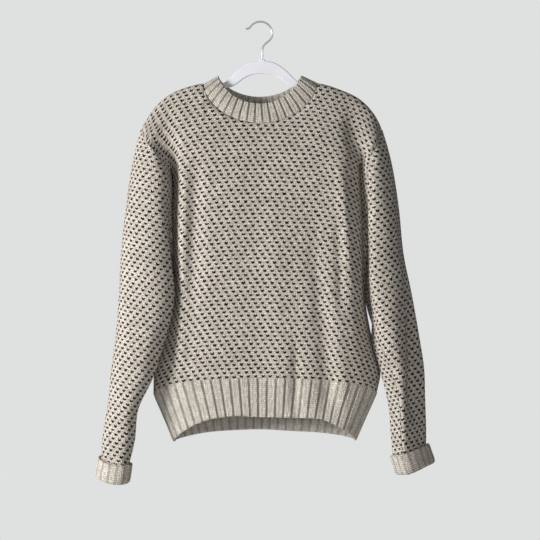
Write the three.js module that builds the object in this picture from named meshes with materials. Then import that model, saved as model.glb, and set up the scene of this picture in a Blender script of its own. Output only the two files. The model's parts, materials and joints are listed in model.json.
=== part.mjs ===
// A chunky crew-neck pullover hanging on a slim clothes hanger.
// Millimetres, +Z up, +X to the viewer's right, +Y towards the wall it hangs on.
// The origin is the underside of the hook, where a nail or a rail carries it.
import * as THREE from 'three';

// ---- driving dimensions -------------------------------------------------
const CLOTH = 3;              // thickness of the knitted cloth
const SEAM_GAP = 0.65;        // clear space between two pieces at a seam
const UNDERARM_LEAN = 0.15;   // how far the body's cloth leans outwards where four pieces meet
const NECK = { x: -2.6, z: -113, half: 103, front: 72, back: 57, power: 1.1 };
const COLLAR = { x: -4.3, z: -98.5, half: 75.3, front: 51.5, back: 37, lean: 20, bulge: 3, power: 1.4 };
const CUFF = { height: 36, fold: 2.8 };
const HANGER = { thick: 5, bevel: 1.2, bossHalf: 5.5, bossTop: -67 };
const HOOK = { x: -3, radius: 22, wire: 3.3, stemX: 0.5, sides: 8, steps: 32 };
const WIRE = HOOK.wire / 2;

// ---- the drape: rings of guide points from the shoulder line downwards ---
// Half a body ring runs from the middle out to the seam in seven [x, y] points. zMid is its height
// in the middle and zSeam at the seam, between them it drops as DROP says.
const DROP = [0, 0.04, 0.14, 0.34, 0.6, 0.82, 1];
const SHOULDER_Z = [-112, -112, -113, -124.5, -141.5, -168, -198];
const SHOULDER_LEFT = [0, -55, -108, -150, -180, -204, -222];
const SHOULDER_RIGHT = [0, 52, 104, 143, 178, 204, 220];

const FRONT = [
  { zMid: -185, zLeft: -224, zRight: -226,
    left: [[0, -26], [-55, -27], [-108, -27], [-148, -24], [-172, -17], [-193, -23], [-208, -33]],
    right: [[0, -26], [55, -27], [104, -28], [143, -27], [165, -17], [189, -23], [206, -32]] },
  { zMid: -250, zLeft: -277, zRight: -266,
    left: [[-1, -36], [-56, -38], [-108, -36], [-147, -29], [-157, -13], [-166, 1], [-174, -34]],
    right: [[-1, -36], [56, -38], [108, -39], [153, -36], [171, -22], [180, -7], [193, -34]] },
  { zMid: -325, zLeft: -352, zRight: -350,
    left: [[-1, -44], [-56, -46], [-108, -43], [-147, -32], [-157, -11], [-164, 5], [-171, -16]],
    right: [[-1, -44], [57, -46], [112, -48], [160, -46], [176, -31], [184, -10], [194, -28]] },
  { zMid: -410, zLeft: -436, zRight: -436,
    left: [[-1, -50], [-56, -51], [-108, -47], [-147, -35], [-159, -12], [-163, 4.5], [-167.5, 7]],
    right: [[-1, -50], [57, -52], [114, -55], [163, -52], [179, -37], [185, -14], [193, -8]] },
  { zMid: -490, zLeft: -508, zRight: -508,
    left: [[-1, -53], [-57, -53], [-110, -48], [-146, -34], [-158, -14], [-162, 3], [-168.5, 13.5]],
    right: [[-1, -53], [58, -55], [116, -58], [164, -54], [181, -36], [184, -10], [190, 7]] },
  { zMid: -575, zLeft: -602, zRight: -600,
    left: [[0, -50], [-58, -50], [-113, -45], [-154, -31], [-173, -13], [-183, 3], [-184, 16]],
    right: [[0, -50], [60, -53], [118, -57], [167, -52], [190, -34], [202, -9], [206, 12]] },
  { zMid: -612, zLeft: -647, zRight: -642,
    left: [[0, -47], [-59, -47], [-116, -43], [-160, -30], [-186, -13], [-196, 3], [-197, 17]],
    right: [[0, -47], [60, -50], [119, -53], [170, -48], [199, -31], [213, -9], [217, 12]] },
  { zMid: -650, zLeft: -687, zRight: -684,
    left: [[0, -44], [-60, -44], [-118, -40], [-165, -28], [-190, -12], [-198, 4], [-196, 18]],
    right: [[0, -44], [60, -47], [120, -50], [172, -44], [200, -28], [209, -8], [208, 12]] },
];

const BACK = [
  { zMid: -187, zLeft: -226, zRight: -228,
    left: [[0, 15], [-55, 15], [-108, 14], [-150, 13], [-176, 12], [-197, 16], [-212, 20]],
    right: [[0, 15], [55, 15], [108, 14], [150, 13], [176, 12], [197, 16], [212, 20]] },
  { zMid: -252, zLeft: -277, zRight: -277,
    left: [[0, 20], [-55, 20], [-110, 20], [-155, 19], [-176, 14], [-189, 17], [-200, 25]],
    right: [[0, 20], [55, 20], [110, 20], [157, 19], [178, 14], [191, 17], [202, 25]] },
  { zMid: -328, zLeft: -352, zRight: -352,
    left: [[0, 24], [-56, 24], [-112, 24], [-154, 22], [-173, 16], [-183, 19], [-192, 26]],
    right: [[0, 24], [56, 24], [112, 24], [160, 22], [179, 16], [188, 18], [197, 26]] },
  { zMid: -412, zLeft: -436, zRight: -436,
    left: [[0, 26], [-56, 26], [-112, 26], [-150, 25], [-167, 20], [-176, 20], [-184, 24]],
    right: [[0, 26], [56, 26], [112, 26], [160, 25], [178, 20], [186, 20], [193, 24]] },
  { zMid: -492, zLeft: -508, zRight: -508,
    left: [[0, 27], [-57, 27], [-110, 27], [-145, 26], [-157.5, 24.5], [-163.5, 21], [-168.5, 13.5]],
    right: [[0, 27], [57, 27], [112, 27], [160, 26], [177, 23], [185, 17], [190, 7]] },
  { zMid: -580, zLeft: -602, zRight: -600,
    left: [[0, 28], [-58, 28], [-114, 28], [-155, 27], [-173, 25], [-182, 21], [-184, 16]],
    right: [[0, 28], [58, 28], [116, 28], [165, 27], [188, 24], [201, 19], [206, 12]] },
  { zMid: -628, zLeft: -647, zRight: -642,
    left: [[0, 28], [-59, 28], [-116, 28], [-161, 27], [-182, 25.5], [-193, 22], [-197, 17]],
    right: [[0, 28], [60, 28], [120, 28], [172, 27], [196, 24], [210, 19], [217, 12]] },
  { zMid: -676, zLeft: -687, zRight: -684,
    left: [[0, 28], [-60, 28], [-118, 28], [-168, 27], [-187, 26], [-195, 23], [-196, 18]],
    right: [[0, 28], [60, 28], [122, 28], [178, 27], [200, 24], [208, 19], [208, 12]] },
];

// lower edge of the two ribbed welts, [x, y, z] from the left corner to the right one
const FRONT_WELT_EDGE = [
  [-160, 10, -769], [-161, 2, -767], [-155, -9, -760], [-138, -23, -746], [-100, -34, -728],
  [-52, -38, -720.5], [0, -39, -722], [54, -40, -723.5], [108, -42, -726], [146, -34, -744],
  [164, -18, -757], [171, -4, -764], [170, 8, -767],
];
const BACK_WELT_EDGE = [
  [-160, 10, -769], [-162, 16, -768], [-157, 20, -766], [-140, 24, -761], [-102, 27, -753.5],
  [-52, 28, -749.5], [0, 28, -748], [54, 28, -751], [108, 28, -754], [148, 25, -759.5],
  [166, 20, -764], [172, 15, -766], [170, 8, -767],
];

// Sleeve rings: ten points from the front of the armhole seam across the front to the outer line
// (the seventh), then round the back to the seam again. Below the armhole the first and the last
// point are the two edges of the underarm seam.
const SLEEVE_LEFT = [
  [[-208, -33, -224], [-215, -21, -213], [-218.5, -12, -206.5], [-221, -6, -202.5], [-222, -3, -200.5],
    [-222.6, -1, -199.2], [-223, 0, -198.8], [-222, 4, -201], [-218, 12, -209], [-212, 20, -226]],
  [[-174, -34, -277], [-179, -41, -276], [-190, -46, -274], [-206, -43, -272], [-222, -33, -269],
    [-232, -19, -267], [-237.5, -3, -266], [-235, 14, -268], [-222, 23, -272], [-200, 25, -277]],
  [[-171, -16, -352], [-174, -33, -351], [-183, -46, -350], [-204, -48, -348], [-228, -38, -344],
    [-243, -22, -341], [-248.5, -4, -340], [-245, 15, -342], [-226, 26, -346], [-192, 26, -352]],
  [[-168, 8, -436], [-169, -20, -436], [-168, -42, -435], [-196, -56, -433], [-232, -45, -428],
    [-250, -28, -425], [-257, -8, -424], [-253, 14, -426], [-230, 25, -430], [-184, 24, -436]],
  [[-168.5, 13.5, -508], [-175, -8, -509], [-161, -42, -509], [-190, -61, -506], [-234, -49, -500],
    [-254, -32, -496], [-260.5, -12, -495], [-256, 11, -497], [-222, 23, -503], [-168.5, 13.5, -508]],
  [[-196, -22, -588], [-186, -30, -588], [-179.5, -44, -587], [-206, -65, -584], [-246, -53, -577],
    [-261, -35, -573], [-266, -16, -572], [-260, 6, -575], [-236, 6, -582], [-201, -19, -588]],
  [[-216, -26, -650], [-204, -32, -650], [-199.5, -46, -649], [-222, -62, -646], [-254, -52, -641],
    [-269, -36, -638], [-274.5, -18, -637], [-269, 2, -640], [-248, 0, -646], [-221, -23, -650]],
  [[-238, -22, -708], [-229, -29, -708], [-227, -42, -707], [-242, -56, -705], [-264, -49, -701],
    [-276, -36, -698], [-280, -20, -697], [-275, -4, -700], [-259, -3, -705], [-242, -19, -708]],
  [[-244, -20, -762], [-236, -27, -762], [-233, -38, -763], [-248, -53, -762], [-270, -48, -757],
    [-284, -37, -753], [-289, -22, -751], [-284, -7, -753], [-266, -5, -758], [-248, -17, -762]],
  [[-251, -22, -803], [-245, -27, -804], [-243, -37, -806], [-256, -50, -808], [-276, -46, -805],
    [-288, -36, -799], [-292, -24, -795], [-288, -11, -795], [-272, -8, -799], [-254, -19, -803]],
];
const SLEEVE_RIGHT = [
  [[206, -32, -226], [213, -21, -214], [216.5, -12, -206.5], [219, -6, -202.5], [220, -3, -200.5],
    [220.6, -1, -199.2], [221, 0, -198.8], [220, 4, -201], [217, 12, -209], [212, 20, -228]],
  [[193, -34, -266], [197, -40, -266], [206, -45, -265], [217, -41, -264], [228, -31, -263],
    [234, -18, -262], [237, -3, -261], [236, 13, -264], [224, 22, -270], [202, 25, -277]],
  [[194, -28, -350], [196.5, -42, -349], [204, -51, -347], [221, -49, -344], [237, -38, -341],
    [244, -22, -339], [249, -4, -338], [248, 15, -340], [231, 26, -346], [197, 26, -352]],
  [[193, -8, -436], [195.5, -34, -435], [203, -55, -433], [225, -55, -430], [246, -43, -427],
    [252, -25, -425], [257.5, -5, -424], [257, 16, -427], [236, 26, -432], [193, 24, -436]],
  [[190, 7, -508], [197, -24, -507], [207, -56, -504], [232, -60, -501], [257.5, -44, -498],
    [257, -26, -496], [272, -4, -495], [270, 15, -498], [240, 25, -503], [190, 7, -508]],
  [[211, -43, -579], [217, -51, -578], [226, -59, -577], [242, -60, -575], [260.5, -44, -573],
    [259, -28, -571], [285, -7, -570], [282, 13, -573], [246, 22, -578], [207.5, -38, -580]],
  [[237.5, -50, -640], [243, -53.5, -639], [249, -56, -638], [256, -54, -637], [262, -44, -636],
    [262, -30, -635], [295, -9, -634], [290, 10, -637], [250, 16, -643], [233.5, -48, -640]],
  [[251, -52, -700], [254, -53, -699], [257, -52.5, -698], [260, -50, -697], [263, -44, -696],
    [266, -34, -695], [297, -11, -693], [292, 7, -696], [258, 8, -704], [247, -50.5, -700]],
  [[253.5, -51, -757], [257, -51.5, -756], [261, -50.5, -755], [266, -47.5, -753], [272, -43, -751],
    [281, -34, -748], [299, -13, -744], [293, 4, -747], [263, 3, -758], [249.5, -49, -757]],
  [[256, -48, -790], [260, -48.5, -788], [264, -47.5, -787], [269, -44.5, -785], [276, -40, -782],
    [285, -32, -778], [299, -14, -773], [292, 1, -775], [263, -2, -788], [252, -46, -791]],
];
// the inner edge of a sleeve where it is turned to the seam from behind: [ring, x, y]
const SLEEVE_RIGHT_INNER = { 5: [202, -12], 6: [218, -22], 7: [232, -22], 8: [237, -20], 9: [240, -20] };

// Soft valleys pressed into the front: from one end to the other, [x, z], how deep, how wide, all mm.
const VALLEYS = [
  { from: [100, -390], to: [126, -700], depth: 10, width: 19 },
  { from: [62, -600], to: [64, -770], depth: 5, width: 9 },
  { from: [-120, -270], to: [-124, -480], depth: 7, width: 13 },
  { from: [139, -380], to: [143, -510], depth: 5, width: 9 },
];

// ---- curves and sheets ----------------------------------------------------
const V = (p) => new THREE.Vector3(p[0], p[1], p[2]);

// a smooth curve through guide points, read at a position counted in points
function curveThrough(points) {
  const curve = new THREE.CatmullRomCurve3(points, false, 'centripetal');
  return (index) => curve.getPoint(THREE.MathUtils.clamp(index / (points.length - 1), 0, 1));
}

// positions along n guide points with the given number of steps in each stretch
function stepsBetween(stretches) {
  const list = [0];
  stretches.forEach((steps, i) => {
    for (let k = 1; k <= steps; k++) list.push(i + k / steps);
  });
  return list;
}

// a smooth sheet through rings: across each ring first, then down through the rings
function sheetThrough(rings, across) {
  const curves = rings.map((ring) => curveThrough(ring));
  const columns = across.map((a) => curveThrough(curves.map((curve) => curve(a))));
  return (column, down) => columns[column](down);
}

function valleyDepth(x, z) {
  let depth = 0;
  for (const valley of VALLEYS) {
    const [x0, z0] = valley.from;
    const [x1, z1] = valley.to;
    const along = (z - z0) / (z1 - z0);
    const off = (x - THREE.MathUtils.lerp(x0, x1, along)) / valley.width;
    const begins = THREE.MathUtils.smoothstep(along, -0.25, 0.2);
    const ends = 1 - THREE.MathUtils.smoothstep(along, 0.85, 1.25);
    depth += valley.depth * begins * ends * Math.exp(-off * off);
  }
  return depth;
}

// A cloth panel: a grid of middle-surface points, rows from its top edge down, each with the list of
// the pushes that seams give it. side is 1 or -1, which way the right side of the cloth faces.
class Panel {
  constructor(name, grid, side, closed = false, smoothNormal = null) {
    this.name = name;
    this.smoothNormal = smoothNormal;
    this.grid = grid;
    this.side = side;
    this.closed = closed;
    this.rows = grid.length;
    this.cols = grid[0].length;
    this.push = grid.map((row) => row.map(() => new THREE.Vector3()));
    this.measureNormals();
  }

  measureNormals() {
    this.normals = this.grid.map((row, r) => row.map((_, c) => this.normalAt(r, c)));
  }

  normalAt(r, c) {
    return this.smoothNormal ? this.smoothNormal(r, c) : this.gridNormal(r, c);
  }

  gridNormal(r, c) {
    const at = (i, j) => this.grid[i][this.closed ? (j + this.cols) % this.cols : j];
    const right = this.closed ? c + 1 : Math.min(c + 1, this.cols - 1);
    const left = this.closed ? c - 1 : Math.max(c - 1, 0);
    const along = at(r, right).clone().sub(at(r, left));
    const down = at(Math.min(r + 1, this.rows - 1), c).clone().sub(at(Math.max(r - 1, 0), c));
    return along.cross(down).normalize().multiplyScalar(this.side);
  }

  solid() {
    const { rows, cols } = this;
    const points = [];
    for (const face of [1, -1]) {
      for (let r = 0; r < rows; r++) {
        for (let c = 0; c < cols; c++) {
          points.push(this.grid[r][c].clone().add(this.push[r][c])
            .addScaledVector(this.normals[r][c], face * CLOTH / 2));
        }
      }
    }
    const id = (face, r, c) => face * rows * cols + r * cols + (c % cols);
    const triangles = [];
    const quad = (a, b, c, d) => triangles.push(...(this.side > 0 ? [a, b, c, a, c, d] : [a, c, b, a, d, c]));
    const lastCol = this.closed ? cols : cols - 1;
    for (let r = 0; r < rows - 1; r++) {
      for (let c = 0; c < lastCol; c++) {
        const next = (c + 1) % cols;
        const falling = this.grid[r][c].distanceTo(this.grid[r + 1][next]);
        const rising = this.grid[r + 1][c].distanceTo(this.grid[r][next]);
        for (const face of [0, 1]) {
          const ring = [id(face, r, c), id(face, r, c + 1), id(face, r + 1, c + 1), id(face, r + 1, c)];
          if (rising < falling) ring.push(ring.shift());     // each cell is cut along its shorter diagonal
          if (face === 1) ring.reverse();
          quad(...(face === 1 ? [ring[3], ring[0], ring[1], ring[2]] : ring));
        }
      }
    }
    for (let c = 0; c < lastCol; c++) {
      quad(id(0, 0, c), id(1, 0, c), id(1, 0, c + 1), id(0, 0, c + 1));
      quad(id(0, rows - 1, c), id(0, rows - 1, c + 1), id(1, rows - 1, c + 1), id(1, rows - 1, c));
    }
    if (!this.closed) {
      for (let r = 0; r < rows - 1; r++) {
        quad(id(0, r, 0), id(0, r + 1, 0), id(1, r + 1, 0), id(1, r, 0));
        quad(id(0, r, cols - 1), id(1, r, cols - 1), id(1, r + 1, cols - 1), id(0, r + 1, cols - 1));
      }
    }
    const geometry = new THREE.BufferGeometry();
    const numbers = points.flatMap((p) => [p.x, p.y, p.z]);
    geometry.setAttribute('position', new THREE.Float32BufferAttribute(numbers, 3));
    geometry.setIndex(triangles);
    return geometry;
  }
}

// Sews two equal edges: the second takes the place of the first, and both draw back by half the
// seam gap once all seams are laid, square to the cloth direction that all pieces share there.
const seams = [];
const EASE = [0.72, 0.45, 0.22, 0.08];   // how far the next columns of a sleeve follow its sewn edge
function sew(panelA, edgeA, panelB, edgeB, eased = false) {
  edgeA.forEach(([ra, ca], i) => {
    const [rb, cb] = edgeB[i];
    const shift = panelA.grid[ra][ca].clone().sub(panelB.grid[rb][cb]);
    panelB.grid[rb][cb].add(shift);
    if (!eased) return;
    const inwards = cb === 0 ? 1 : -1;
    EASE.forEach((share, k) => panelB.grid[rb][cb + inwards * (k + 1)].addScaledVector(shift, share));
  });
  seams.push({ panelA, edgeA, panelB, edgeB });
}

function finishSeams() {
  const shared = new Map();
  const key = (p) => [p.x, p.y, p.z].map((v) => v.toFixed(3)).join();
  const ends = new Set();
  for (const seam of seams) {
    for (const [panel, edge] of [[seam.panelA, seam.edgeA], [seam.panelB, seam.edgeB]]) {
      for (const [r, c] of edge) ends.add(`${panel.name} ${r} ${c}`);
    }
  }
  const sewnPanels = seams.flatMap((seam) => [seam.panelA, seam.panelB]);
  const panels = new Map(sewnPanels.map((panel) => [panel.name, panel]));
  panels.forEach((panel) => panel.measureNormals());
  const members = [...ends].map((text) => {
    const [name, r, c] = text.split(' ');
    return [panels.get(name), Number(r), Number(c)];
  });
  for (const [panel, r, c] of members) {
    const place = key(panel.grid[r][c]);
    if (!shared.has(place)) shared.set(place, new THREE.Vector3());
    shared.get(place).add(panel.normals[r][c]);
  }
  for (const [panel, r, c] of members) {
    panel.normals[r][c].copy(shared.get(key(panel.grid[r][c]))).normalize();
  }
  for (const [panel, r, c] of [[front, ARMHOLE_ROWS, 0], [front, ARMHOLE_ROWS, LAST_COL]]) {
    const underarm = key(panel.grid[r][c]);              // four pieces meet here, all facing down
    const aside = Math.sign(panel.grid[r][c].x) * UNDERARM_LEAN;
    members.filter(([p, i, j]) => key(p.grid[i][j]) === underarm).forEach(([p, i, j]) => {
      const ofBody = p === front || p === back;
      p.normals[i][j].set(ofBody ? aside : 0, 0, -1).normalize();
      if (!ofBody) p.push[i][j].x += Math.sign(aside) * SEAM_GAP;
    });
  }
  for (const { panelA, edgeA, panelB, edgeB } of seams) {
    edgeA.forEach(([ra, ca], i) => {
      const [rb, cb] = edgeB[i];
      const before = edgeA[Math.max(i - 1, 0)];
      const after = edgeA[Math.min(i + 1, edgeA.length - 1)];
      const run = panelA.grid[after[0]][after[1]].clone().sub(panelA.grid[before[0]][before[1]]);
      const aside = run.cross(panelA.normals[ra][ca]).normalize();
      const rowEdgeHere = edgeA[0][0] === edgeA[edgeA.length - 1][0];
      const inner = rowEdgeHere ? [insideOf(ra, panelA.rows), ca] : [ra, insideOf(ca, panelA.cols)];
      if (aside.dot(panelA.grid[inner[0]][inner[1]].clone().sub(panelA.grid[ra][ca])) < 0) aside.negate();
      panelA.push[ra][ca].addScaledVector(aside, SEAM_GAP / 2);
      panelB.push[rb][cb].addScaledVector(aside, -SEAM_GAP / 2);
    });
  }
}
const insideOf = (index, count) => (index === 0 ? 1 : index === count - 1 ? count - 2 : index);
const columnEdge = (rows, column) => rows.map((r) => [r, column]);
const rowEdge = (row, columns) => columns.map((c) => [row, c]);
const range = (first, last) => Array.from({ length: Math.abs(last - first) + 1 },
  (_, i) => first + Math.sign(last - first) * i);

// ---- body panels -----------------------------------------------------------
// columns of a body panel, counted in guide points from one seam; close together at the neck corners
const HALF_ACROSS = [0, 0.5, 1, 1.5, 2, 3, 3.5, 4, 4.08, 4.2, 4.5, 5, 5.5];
const BODY_ACROSS = [...HALF_ACROSS, 6, ...[...HALF_ACROSS].reverse().map((a) => 12 - a)];
const BODY_DOWN = stepsBetween([1, 2, 2, 2, 2, 2, 2, 1, 1]);
const ARMHOLE_ROWS = 11;      // rows from the shoulder line down to the underarm
const SQUEEZE = 3;            // rings over which the rows close up round the neck

function bodyRings(side, rings) {
  const shoulder = [...range(6, 1).map((j) => [SHOULDER_LEFT[j], 0, SHOULDER_Z[j]]),
    ...range(0, 6).map((j) => [SHOULDER_RIGHT[j], 0, SHOULDER_Z[j]])];
  const overHanger = shoulder.map(([x, , z], i) => {
    const end = i === 0 || i === shoulder.length - 1;
    return [end ? x - Math.sign(x) * 2 : x, side * (end ? 8 : 6.5), z - (end ? 6 : 4)];
  });
  const lower = rings.map((ring) => {
    const heightAt = (j, zSeam) => ring.zMid + (zSeam - ring.zMid) * DROP[j];
    const half = (points, zSeam) => points.map(([x, y], j) => [x, y, heightAt(j, zSeam)]);
    return [...half(ring.left, ring.zLeft).slice(1).reverse(), ...half(ring.right, ring.zRight)];
  });
  return [shoulder, overHanger, ...lower].map((ring) => ring.map(V));
}

function neckZ(x, depth) {
  const off = (x - NECK.x) / NECK.half;
  return Math.abs(off) >= 1 ? Infinity : NECK.z - depth * Math.pow(1 - off * off, NECK.power / 2);
}

// where a column of the sheet meets the neckline
function neckStart(point, depth) {
  const below = (t) => {
    const p = point(t);
    return p.z < neckZ(p.x, depth);
  };
  if (!Number.isFinite(neckZ(point(0).x, depth))) return 0;
  let low = 0;
  let high = SQUEEZE;
  for (let i = 0; i < 30; i++) {
    const mid = (low + high) / 2;
    if (below(mid)) high = mid;
    else low = mid;
  }
  return low;
}

function bodyPanel(name, side, rings, neckDepth) {
  const sheet = sheetThrough(bodyRings(side, rings), BODY_ACROSS);
  const pressed = (c, t) => {
    const point = sheet(c, t);
    const flat = 1 - THREE.MathUtils.smoothstep(Math.abs(point.x), 150, 175);
    if (side < 0) point.y += valleyDepth(point.x, point.z) * flat;
    return point;
  };
  const lastT = BODY_DOWN[BODY_DOWN.length - 1];
  const places = BODY_ACROSS.map((_, c) => {
    const start = neckStart((t) => sheet(c, t), neckDepth);
    return BODY_DOWN.map((t) => (t < SQUEEZE ? start + (SQUEEZE - start) * t / SQUEEZE : t));
  });
  const smoothNormal = (r, c) => {
    const t = places[c][r];
    const along = pressed(Math.min(c + 1, BODY_ACROSS.length - 1), t).sub(pressed(Math.max(c - 1, 0), t));
    const down = pressed(c, Math.min(t + 0.05, lastT)).sub(pressed(c, Math.max(t - 0.05, 0)));
    return along.cross(down).normalize().multiplyScalar(side);
  };
  const grid = BODY_DOWN.map((_, r) => BODY_ACROSS.map((_a, c) => pressed(c, places[c][r])));
  const panel = new Panel(name, grid, side, false, smoothNormal);
  const inNeck = range(0, BODY_ACROSS.length - 1)
    .filter((c) => Number.isFinite(neckZ(grid[0][c].x, neckDepth)));
  panel.neckColumns = range(inNeck[0] - 1, inNeck[inNeck.length - 1] + 1);
  return panel;
}

const front = bodyPanel('front', -1, FRONT, NECK.front);
const back = bodyPanel('back', 1, BACK, NECK.back);
const LAST_ROW = BODY_DOWN.length - 1;
const LAST_COL = BODY_ACROSS.length - 1;

// ---- welts ------------------------------------------------------------------
const WELT_STEPS = 3;
function welt(name, panel, edge) {
  const low = curveThrough(edge.map(V));
  const grid = range(0, WELT_STEPS).map((r) => BODY_ACROSS.map((a, c) => {
    const top = panel.grid[LAST_ROW][c];
    const point = top.clone().lerp(low(a), r / WELT_STEPS);
    if (r > 0 && panel === front) point.y += valleyDepth(point.x, point.z) * 0.5;
    return point;
  }));
  return new Panel(name, grid, panel.side);
}
const hemFront = welt('hem_front', front, FRONT_WELT_EDGE);
const hemBack = welt('hem_back', back, BACK_WELT_EDGE);

// ---- sleeves ------------------------------------------------------------------
const SLEEVE_ACROSS = stepsBetween([1, 2, 2, 2, 1, 2, 2, 2, 2]);
const SLEEVE_DOWN = stepsBetween([2, 2, 2, 2, 2, 1, 1, 2, 1]);
const HEAD_ROWS = 3;          // rows of a body panel, from the shoulder down, that a sleeve's head is sewn to
function sleeve(name, rings, inner, side) {
  // a twisted sleeve has one more guide point, where its inner edge turns to the seam
  const full = rings.map((ring, k) => {
    const [x, y] = inner[k] ?? [0, 0];
    const last = ring[9];
    const before = ring[8];
    const extra = inner[k] ? [x, y, last[2]] : before.map((v, i) => (v + last[i]) / 2);
    return [...ring.slice(0, 9), extra, last].map(V);
  });
  const across = [...SLEEVE_ACROSS.filter((a) => a <= 8), 8.5, 9, 9.5, 10];
  const sheet = sheetThrough(full, across);
  return new Panel(name, SLEEVE_DOWN.map((t) => across.map((_, c) => sheet(c, t))), side);
}
const sleeveLeft = sleeve('sleeve_left', SLEEVE_LEFT, {}, 1);
const sleeveRight = sleeve('sleeve_right', SLEEVE_RIGHT, SLEEVE_RIGHT_INNER, -1);

// ---- turned-up cuffs --------------------------------------------------------------
// A ring that goes on from the sleeve's end, folds outwards at the bottom and comes up outside it.
function cuff(name, arm, side) {
  const end = arm.grid[arm.rows - 1].slice(0, arm.cols - 1);
  const centre = end.reduce((sum, p) => sum.add(p), new THREE.Vector3()).divideScalar(end.length);
  const across = end[Math.floor(end.length * 0.6)].clone().sub(end[0]);
  const other = end[Math.floor(end.length * 0.3)].clone().sub(end[Math.floor(end.length * 0.8)]);
  const down = across.cross(other).normalize();
  if (down.z > 0) down.negate();
  const profile = [[0, 0], [0, CUFF.height * 0.45], [0, CUFF.height - 2], [CUFF.fold, CUFF.height],
    [2 * CUFF.fold, CUFF.height - 2], [2 * CUFF.fold + 0.8, CUFF.height * 0.45], [2 * CUFF.fold + 0.4, 1]];
  const grid = profile.map(([out, along]) => end.map((point, c) => {
    const away = point.clone().sub(centre);
    away.addScaledVector(down, -away.dot(down)).normalize();
    return point.clone().addScaledVector(away, out).addScaledVector(down, along);
  }));
  return new Panel(name, grid, side, true);
}
const cuffLeft = cuff('cuff_left', sleeveLeft, 1);
const cuffRight = cuff('cuff_right', sleeveRight, -1);

// ---- neckband ------------------------------------------------------------------------
function neckband() {
  const [first, ...frontInner] = front.neckColumns;
  const backInner = back.neckColumns.slice(1, -1).reverse();
  const frontEdge = [first, ...frontInner].map((c) => front.grid[0][c]);
  const edge = [...frontEdge, ...backInner.map((c) => back.grid[0][c])];
  const top = edge.map((point, i) => {
    const sine = THREE.MathUtils.clamp((point.x - NECK.x) / NECK.half, -1, 1);
    const cosine = Math.sqrt(1 - sine * sine);
    const isFront = i < front.neckColumns.length;
    const dip = (isFront ? COLLAR.front : COLLAR.back) * Math.pow(cosine, COLLAR.power);
    const lean = (isFront ? -COLLAR.lean : COLLAR.lean * 0.7) * Math.pow(cosine, 0.6);
    return new THREE.Vector3(COLLAR.x + COLLAR.half * sine, lean, COLLAR.z - dip);
  });
  const grid = [0, 0.35, 0.7, 1].map((f) => edge.map((point, i) => point.clone().lerp(top[i], f)));
  const band = new Panel('neckband', grid, 1, true);
  for (const row of [1, 2]) {
    grid[row].forEach((point, c) => {
      const away = 1 - ((edge[c].x - NECK.x) / NECK.half) ** 2;
      point.addScaledVector(band.normals[row][c], COLLAR.bulge * Math.sqrt(Math.max(away, 0)));
    });
  }
  return new Panel('neckband', grid, 1, true);
}
const collar = neckband();

// ---- sewing ----------------------------------------------------------------------------
const firstNeck = front.neckColumns[0];
const lastNeck = front.neckColumns[front.neckColumns.length - 1];
for (const columns of [range(0, firstNeck), range(lastNeck, LAST_COL)]) {
  sew(front, rowEdge(0, columns), back, rowEdge(0, columns));
}
const sideRows = range(ARMHOLE_ROWS, LAST_ROW);
for (const c of [0, LAST_COL]) {
  sew(front, columnEdge(sideRows, c), back, columnEdge(sideRows, c));
  sew(hemFront, columnEdge(range(0, WELT_STEPS), c), hemBack, columnEdge(range(0, WELT_STEPS), c));
}
const allColumns = range(0, LAST_COL);
sew(front, rowEdge(LAST_ROW, allColumns), hemFront, rowEdge(0, allColumns));
sew(back, rowEdge(LAST_ROW, allColumns), hemBack, rowEdge(0, allColumns));

const sleeveLast = sleeveLeft.cols - 1;
// the columns of a sleeve's head that lie between two rows of the body panel it is sewn to
function betweenHeadPoints(arm, place) {
  const step = sleeveLast / (2 * HEAD_ROWS);
  for (let column = 0; column < sleeveLast; column++) {
    const from = Math.floor(column / step) * step;
    if (column !== from) place(column, from, from + step, (column - from) / step);
  }
}

const armholeRows = range(HEAD_ROWS, ARMHOLE_ROWS);
const sleeveTopRows = range(0, ARMHOLE_ROWS - HEAD_ROWS);
const headStep = sleeveLast / (2 * HEAD_ROWS);      // columns of the sleeve to one row of the body panel
const frontHead = range(0, HEAD_ROWS).map((k) => k * headStep);
const backHead = range(HEAD_ROWS, 2 * HEAD_ROWS).map((k) => k * headStep);
for (const [arm, c] of [[sleeveLeft, 0], [sleeveRight, LAST_COL]]) {
  sew(front, columnEdge(armholeRows, c), arm, columnEdge(sleeveTopRows, 0), true);
  sew(back, columnEdge(armholeRows, c), arm, columnEdge(sleeveTopRows, sleeveLast), true);
  sew(front, columnEdge(range(HEAD_ROWS, 0), c), arm, rowEdge(0, frontHead));
  sew(back, columnEdge(range(0, HEAD_ROWS), c), arm, rowEdge(0, backHead));
  betweenHeadPoints(arm, (column, from, to, share) => {
    arm.grid[0][column].lerpVectors(arm.grid[0][from], arm.grid[0][to], share);
  });
}
for (const [arm, band] of [[sleeveLeft, cuffLeft], [sleeveRight, cuffRight]]) {
  const underarmRows = range(ARMHOLE_ROWS - HEAD_ROWS, arm.rows - 1);
  sew(arm, columnEdge(underarmRows, 0), arm, columnEdge(underarmRows, sleeveLast), true);
  const columns = range(0, sleeveLast);
  sew(arm, rowEdge(arm.rows - 1, columns), band, rowEdge(0, columns.map((c) => c % sleeveLast)));
}
const neckCount = front.neckColumns.length;
const bandCount = collar.cols;
sew(front, rowEdge(0, front.neckColumns), collar, rowEdge(0, range(0, neckCount - 1)));
sew(back, rowEdge(0, [...back.neckColumns].reverse()),
  collar, rowEdge(0, range(neckCount - 1, bandCount).map((c) => c % bandCount)));
finishSeams();
for (const arm of [sleeveLeft, sleeveRight]) {
  betweenHeadPoints(arm, (column, from, to, share) => {
    arm.push[0][column].lerpVectors(arm.push[0][from], arm.push[0][to], share);
    arm.normals[0][column].lerpVectors(arm.normals[0][from], arm.normals[0][to], share).normalize();
  });
}

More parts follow.
